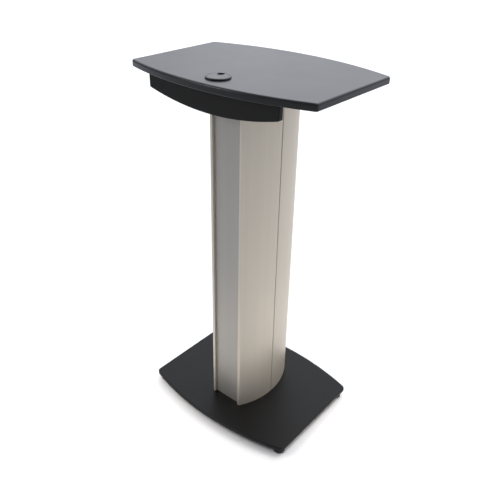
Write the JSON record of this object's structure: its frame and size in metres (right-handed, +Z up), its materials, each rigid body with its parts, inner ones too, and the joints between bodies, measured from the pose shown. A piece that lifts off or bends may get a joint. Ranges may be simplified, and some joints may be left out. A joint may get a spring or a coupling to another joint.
{
  "type": "lectern stand",
  "caption": "Standing lectern: a bowed black desk with a cable grommet and a crescent fascia, on a hollow bow-sided anodised column over a bowed steel base with levelling feet.",
  "frame": {"origin": "on the floor, under the middle of the column and of the base plate", "axes": "+Z up, -Y towards the audience, +Y towards the speaker, +X to the right as the audience sees it"},
  "size_m": [0.61, 0.4466, 1.1174],
  "materials": {
    "laminate": "18 mm fibreboard with black satin laminate on both faces and a rounded edge",
    "painted_board": "16 mm fibreboard painted satin black",
    "column_anodised": "clear anodised extrusion, satin, with fine lengthwise lines",
    "panel_anodised": "clear anodised sheet, satin, with fine lengthwise lines",
    "powder_coat": "black powder coat on steel, fine texture",
    "zinc": "bright zinc plate",
    "nylon": "moulded black nylon",
    "grommet_plastic": "moulded black plastic, fine matt grain"
  },
  "bodies": {
    "stand": {"base_plate": "powder_coat", "base_screw_front_left_1": "zinc", "base_screw_front_left_2": "zinc", "base_screw_front_right_1": "zinc", "base_screw_front_right_2": "zinc", "base_screw_rear_left_1": "zinc", "base_screw_rear_left_2": "zinc", "base_screw_rear_right_1": "zinc", "base_screw_rear_right_2": "zinc", "bracket_screw_left_1": "zinc", "bracket_screw_left_2": "zinc", "bracket_screw_right_1": "zinc", "bracket_screw_right_2": "zinc", "column_front_left": "column_anodised", "column_front_right": "column_anodised", "column_rear_left": "column_anodised", "column_rear_right": "column_anodised", "desk_screw_left_1": "zinc", "desk_screw_left_2": "zinc", "desk_screw_left_3": "zinc", "desk_screw_right_1": "zinc", "desk_screw_right_2": "zinc", "desk_screw_right_3": "zinc", "desktop": "laminate", "fascia": "painted_board", "fascia_bracket_left": "zinc", "fascia_bracket_right": "zinc", "fascia_screw_left_1": "zinc", "fascia_screw_left_2": "zinc", "fascia_screw_right_1": "zinc", "fascia_screw_right_2": "zinc", "front_panel": "panel_anodised", "grommet_liner": "grommet_plastic", "rear_panel": "panel_anodised", "seam_spline_left": "panel_anodised", "seam_spline_right": "panel_anodised", "top_plate": "powder_coat", "top_plate_screw_front_left_1": "zinc", "top_plate_screw_front_left_2": "zinc", "top_plate_screw_front_right_1": "zinc", "top_plate_screw_front_right_2": "zinc", "top_plate_screw_rear_left_1": "zinc", "top_plate_screw_rear_left_2": "zinc", "top_plate_screw_rear_right_1": "zinc", "top_plate_screw_rear_right_2": "zinc"},
    "cap": {"grommet_cap": "grommet_plastic"},
    "foot_front_left": {"foot_pad_front_left": "nylon", "foot_stud_front_left": "zinc"},
    "foot_front_right": {"foot_pad_front_right": "nylon", "foot_stud_front_right": "zinc"},
    "foot_rear_left": {"foot_pad_rear_left": "nylon", "foot_stud_rear_left": "zinc"},
    "foot_rear_right": {"foot_pad_rear_right": "nylon", "foot_stud_rear_right": "zinc"}
  },
  "joints": [
    {"name": "cap_turn", "type": "hinge", "parent": "stand", "child": "cap", "pos_m": [0, -0.153, 1.112], "axis": [0, 0, 1], "continuous": true},
    {"name": "foot_level_front_left", "type": "slide", "parent": "stand", "child": "foot_front_left", "axis": [0, 0, -1], "range_m": [0, 0.0045]},
    {"name": "foot_level_front_right", "type": "slide", "parent": "stand", "child": "foot_front_right", "axis": [0, 0, -1], "range_m": [0, 0.0045]},
    {"name": "foot_level_rear_left", "type": "slide", "parent": "stand", "child": "foot_rear_left", "axis": [0, 0, -1], "range_m": [0, 0.0045]},
    {"name": "foot_level_rear_right", "type": "slide", "parent": "stand", "child": "foot_rear_right", "axis": [0, 0, -1], "range_m": [0, 0.0045]}
  ]
}
